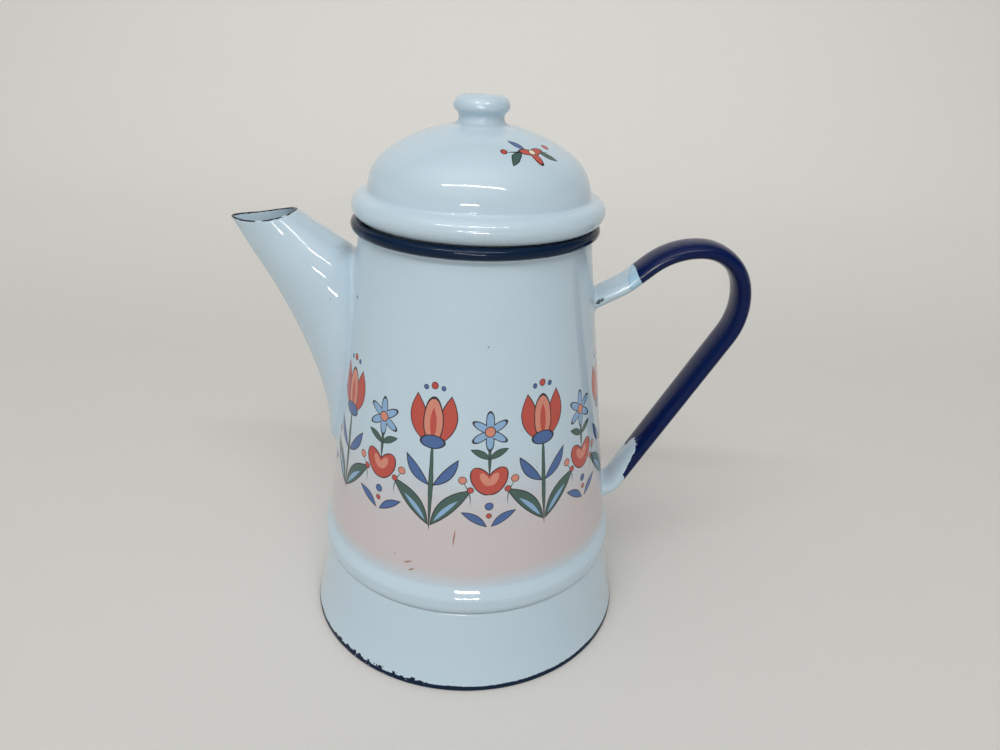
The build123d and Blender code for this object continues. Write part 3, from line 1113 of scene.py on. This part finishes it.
# %% The ragged dip at its foot
rag = handle_enamel.wander(3.4, 3, 92.0, 9.0) + handle_enamel.wander(1.3, 2, 94.0, 3.0)
down_strap = hx * FOOT_RUN[0] + hz * FOOT_RUN[1]
to_outside = hx * FOOT_RUN[1] + hz * -FOOT_RUN[0] - 28.58
tongue = to_outside.above(-1.7, 1.4) * 14.7 + to_outside.above(1.0, 1.4) * 3.8
tongue = tongue + hy.above(1.8, 1.0) * 6.0
lower_blue = (down_strap + tongue + rag * 0.9).above(109.4, 0.12)
blue_part = upper_blue * lower_blue
handle_enamel.navy(NAVY, blue_part)
thin = handle_enamel.noise(2.6, 3, 93.0).above(0.60, 0.05)
thin = thin * (down_strap + tongue).below(111.0, 1.0) * blue_part
handle_enamel.coat(rgb(90, 130, 176), thin * 0.8)
print("and with the lower one", len(handle_enamel.tree.nodes))

# %% Knocks on the handle
handle_enamel.chip((103.5, -7.0, 118.0), 0.35, 96.0, rgb(120, 130, 150))
handle_enamel.pinholes(7.0, 0.25, 0.10, rgb(70, 80, 110))
scrape = Brush(handle_enamel, hx - 51.9, hz - 151.9)
scratched = scrape.leaf((0.0, 0.0), 2.4, 0.85, 38) + handle_enamel.wander(0.8, 3, 95.0, 1.9)
scratched = scratched.most(hy + 6.0).below(-0.1, 0.12)
handle_enamel.coat(rgb(24, 52, 66), scratched)
handle_enamel.wear(scratched)
seam = (hx - 49.3).length(hy + 8.6) + handle_enamel.wander(1.2, 1, 98.0, 0.3)
seam = seam.below(0.42, 0.15) * hz.below(152.5, 0.5) * hz.above(145.0, 0.5)
handle_enamel.coat(rgb(40, 50, 62), seam)
handle_material = handle_enamel.fire()

# %% Enamel of the lid, with its two sprigs
lid_enamel = Enamel("lid_enamel")
lid_enamel.pinholes(8.0, 0.28, 0.08)
bearing = radians(-52)
out_to = (lid_enamel.x - LID_SHIFT) * cos(bearing) + lid_enamel.y * sin(bearing)
sideways = (lid_enamel.x - LID_SHIFT) * -sin(bearing) + lid_enamel.y * cos(bearing)
side = out_to.above(0.0, 0.01) * 2.0 - 1.0
wave = lid_enamel.wander(5.0, 1, 22.0, 0.5)
on_crown = lid_enamel.z.above(196.0, 0.2)
sprig = Brush(lid_enamel, sideways * side + wave, abs(out_to) + wave, on_crown)
sprig.paint(sprig.leaf((-1.0, 28.6), 9.5, 0.42, 6, 2.2), INK, 0)
sprig.paint(sprig.leaf((-7.4, 31.6), 4.2, 1.5, 145, 0.3), GREEN, 0.35)
sprig.paint(sprig.leaf((6.6, 31.4), 3.9, 1.4, 38, 0.3), GREEN, 0.35)
sprig.paint(sprig.leaf((-3.0, 25.4), 3.4, 1.2, 62, 0.0), BLUE, 0.35)
bloom = sprig.flower(
    ((0.6, 32.4), 3.4, 1.5, 90),
    ((2.6, 29.6), 3.2, 1.5, -18),
    ((-1.4, 29.6), 3.2, 1.5, 198),
)
sprig.paint(bloom, CORAL, 0.36)
sprig.dot((0.6, 29.8), 1.3, CREAM)
sprig.dot((9.6, 26.6), 1.3, CORAL)
sprig.dot((-10.2, 27.2), 1.2, CORAL)
collar_rub = lid_enamel.z.below(182.6, 0.5) * lid_enamel.noise(2.5, 3, 24.0).above(0.64, 0.04)
lid_enamel.coat(rgb(120, 118, 116), collar_rub * 0.35)
lid_material = lid_enamel.fire()

# %% Enamel of the knob
knob_enamel = Enamel("knob_enamel")
knob_enamel.pinholes(5.0, 0.2, 0.08)
# Painted shade round the foot of the knob, where it meets the crown under its rim.
knob_foot = knob_enamel.z - 219.6 + knob_enamel.wander(2.0, 2, 26.0, 1.0)
knob_enamel.coat(DIRT_AND_SHADE, knob_foot.below(0.1, 0.8) * 0.18)
knob_material = knob_enamel.fire()

# %% [markdown]
# ## Putting it together
# Each piece takes the place of the plain measured solid of the same name and rides on a body: the
# pot with its spout and handle is one body, and the lid with its knob is the other, which lifts
# off.

# %% Fit each piece to its body
PIECES = (
    (wall, "body_shell", "pot", wall_material, "white_enamel"),
    (skirt, "base_skirt", "pot", skirt_material, "white_enamel"),
    (pan, "bottom_pan", "pot", pan_material, "white_enamel"),
    (spout, "spout", "pot", spout_material, "white_enamel"),
    (handle, "handle", "pot", handle_material, "navy_enamel"),
    (lid, "lid_dome", "lid", lid_material, "white_enamel"),
    (knob, "lid_knob", "lid", knob_material, "white_enamel"),
)
for piece, node, body, material, slot in PIECES:
    piece.data.materials.clear()
    piece.data.materials.append(material)
    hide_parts(node)
    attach(piece, body)
    low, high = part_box(node)
    node_box = [round(v / MM, 1) for v in (*low, *high)]
    print(piece.name, "stands for", node, "on", body, "node box", node_box)

# %% [markdown]
# ## Floor and studio
# A glossy white pot shows whatever is round it, so the surroundings are kept plain: a pale floor
# that sweeps up into a backdrop, and a sky that is pale near the horizon and glows softly high in
# front, with no edge that glass could mirror. Thin tubes draw the fine bright lines that a glossy
# glaze should have, and the two far ones do nothing else. A square lamp would be simpler, but its
# square would show on the lid.

# %% Floor and backdrop
FLOOR_FRONT, FLOOR_BACK = -1.6, 0.8
SWEEP_R = 0.5
BACKDROP_TOP = 1.9
HALF_ACROSS = 2.2


def stage_sheet():
    """One sheet, in metres: the floor, a quarter bend behind it, and the backdrop."""
    sweep = joined(
        straight((FLOOR_FRONT, 0.0), (FLOOR_BACK, 0.0), 0.4),
        arc((FLOOR_BACK, SWEEP_R), SWEEP_R, -90, 0, 24),
        [(FLOOR_BACK + SWEEP_R, BACKDROP_TOP)],
    )
    rings = [[(x, y, z) for y, z in sweep] for x in (-HALF_ACROSS, HALF_ACROSS)]
    mesh = bpy.data.meshes.new("floor")
    count = len(sweep)
    faces = [(i, i + 1, count + i + 1, count + i) for i in range(count - 1)]
    mesh.from_pydata([p for ring in rings for p in ring], [], faces)
    mesh.shade_smooth()
    floor = bpy.data.objects.new("floor", mesh)
    scene.collection.objects.link(floor)
    return floor


floor = stage_sheet()
floor_paint = bpy.data.materials.new("floor_paint")
floor_paint.use_nodes = True
floor_shader = floor_paint.node_tree.nodes["Principled BSDF"]
floor_shader.inputs["Base Color"].default_value = rgb(218, 216, 212)
floor_shader.inputs["Roughness"].default_value = 0.75
floor_shader.inputs["Specular IOR Level"].default_value = 0.2
floor.data.materials.append(floor_paint)
print("the floor sheet has", len(floor.data.polygons), "strips")

# %% Sky
world = bpy.data.worlds.new("studio")
world.use_nodes = True
scene.world = world
sky = world.node_tree
sky_light = sky.nodes["Background"]
sky_light.inputs["Color"].default_value = rgb(241, 241, 240)
ray = add_node(sky, "TexCoord").outputs["Generated"]
towards = add_node(sky, "VectorMath", ray, operation="DOT_PRODUCT")
towards.inputs[1].default_value = Vector((-0.14, -0.36, 0.92)).normalized()
glow = Sum(sky, towards.outputs["Value"]).most(0.0).node("POWER", 5.0) * 1.6 + 0.15
level = Sum(sky, add_node(sky, "SeparateXYZ", ray).outputs[2])
haze = level.below(0.21, 0.11) * 0.58
sky.links.new((glow + haze).value, sky_light.inputs["Strength"])
print("the sky has", len(sky.nodes), "nodes")


# %% Lamps
def lamp(name, place, aim, size, watts):
    """A rectangular lamp, in metres, turned towards a point. The camera doesn't see it."""
    data = bpy.data.lights.new(name, "AREA")
    data.shape, data.size, data.size_y = "RECTANGLE", size[0], size[1]
    data.energy = watts
    made = bpy.data.objects.new(name, data)
    made.location = place
    made.rotation_euler = (Vector(aim) - Vector(place)).to_track_quat("-Z", "Y").to_euler()
    made.visible_camera = False
    scene.collection.objects.link(made)
    return made


lamp("ceiling_tube", (-0.08, -0.79, 1.20), (0, 0, 0.15), (1.3, 0.014), 6.5)
for far in (
    lamp("far_tube", (-0.20, -1.45, 0.56), (0, 0, 0.15), (0.45, 0.022), 4.5),
    lamp("low_tube", (0.05, -1.30, 0.235), (0, 0, 0.05), (0.36, 0.022), 3.4),
):
    far.visible_diffuse = False
lamp("backdrop_wash", (0.0, 0.45, 0.90), (0, 1.3, 0.75), (2.0, 0.3), 4.0)

scene.view_settings.view_transform = "Standard"
